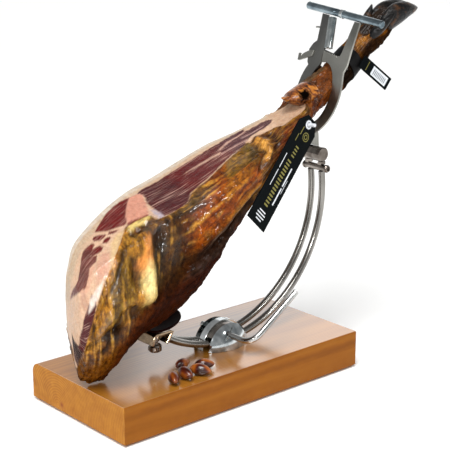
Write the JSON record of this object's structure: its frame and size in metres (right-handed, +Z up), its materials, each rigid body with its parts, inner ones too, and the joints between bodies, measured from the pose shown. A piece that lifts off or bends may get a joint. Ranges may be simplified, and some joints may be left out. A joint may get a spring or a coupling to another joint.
{
  "type": "cured ham on its carving stand",
  "caption": "Whole cured ham with a carved face, clamped at the hock in a carving stand with a wooden board, curved steel rods and a swing jaw.",
  "frame": {"origin": "centre of the board's underside", "axes": "+X along the board towards the hoof, +Y to the side away from the lock lever, +Z up"},
  "size_m": [0.6503, 0.21, 0.5128],
  "materials": {
    "beech": "varnished, glossy",
    "plated_steel": "polished plating",
    "brushed_steel": "brushed, zinc tint",
    "black_steel": "satin black",
    "cured_ham": "oily cured rind, carved face glossy red with pale fat",
    "black_band": "smooth woven band",
    "dark_card": "laminated card",
    "white_nylon": "moulded",
    "acorn_shell": "polished shell"
  },
  "bodies": {
    "base": {"board": "beech", "dome_cup_near": "plated_steel", "dome_cup_far": "plated_steel", "dome_fin": "plated_steel", "acorn_1": "acorn_shell", "acorn_2": "acorn_shell", "acorn_3": "acorn_shell", "acorn_4": "acorn_shell", "acorn_5": "acorn_shell"},
    "arm": {"rod_near": "brushed_steel", "rod_far": "brushed_steel", "rest_bracket": "plated_steel", "rest_bolt": "black_steel", "rest_cradle": "black_steel", "lower_bar": "plated_steel", "head_drum": "plated_steel", "head_spacer_near": "plated_steel", "head_spacer_far": "plated_steel", "head_post": "black_steel", "jaw_pin": "plated_steel", "jaw_far": "brushed_steel", "handle_far": "brushed_steel", "pawl_tube": "plated_steel", "pawl_rod": "plated_steel", "release_lever": "brushed_steel", "stop_pin": "brushed_steel", "ham": "cured_ham", "ankle_band": "black_band", "ankle_tag": "dark_card", "shank_tag": "dark_card", "tag_tie": "white_nylon"},
    "lever": {"lock_lever": "brushed_steel"},
    "jaw": {"jaw_near": "brushed_steel", "handle_near": "brushed_steel"}
  },
  "joints": [
    {"name": "arm_tilt", "type": "hinge", "parent": "base", "child": "arm", "pos_m": [0.023, -0.015, 0.255], "axis": [0, 1, 0], "range_deg": [0, 35]},
    {"name": "lever_turn", "type": "hinge", "parent": "base", "child": "lever", "pos_m": [0.0215, -0.015, 0.0778], "axis": [0, -1, 0], "range_deg": [0, 70]},
    {"name": "jaw_swing", "type": "hinge", "parent": "arm", "child": "jaw", "pos_m": [0.203, -0.006, 0.34], "axis": [0.9348, 0, -0.3551], "range_deg": [0, 20]}
  ]
}
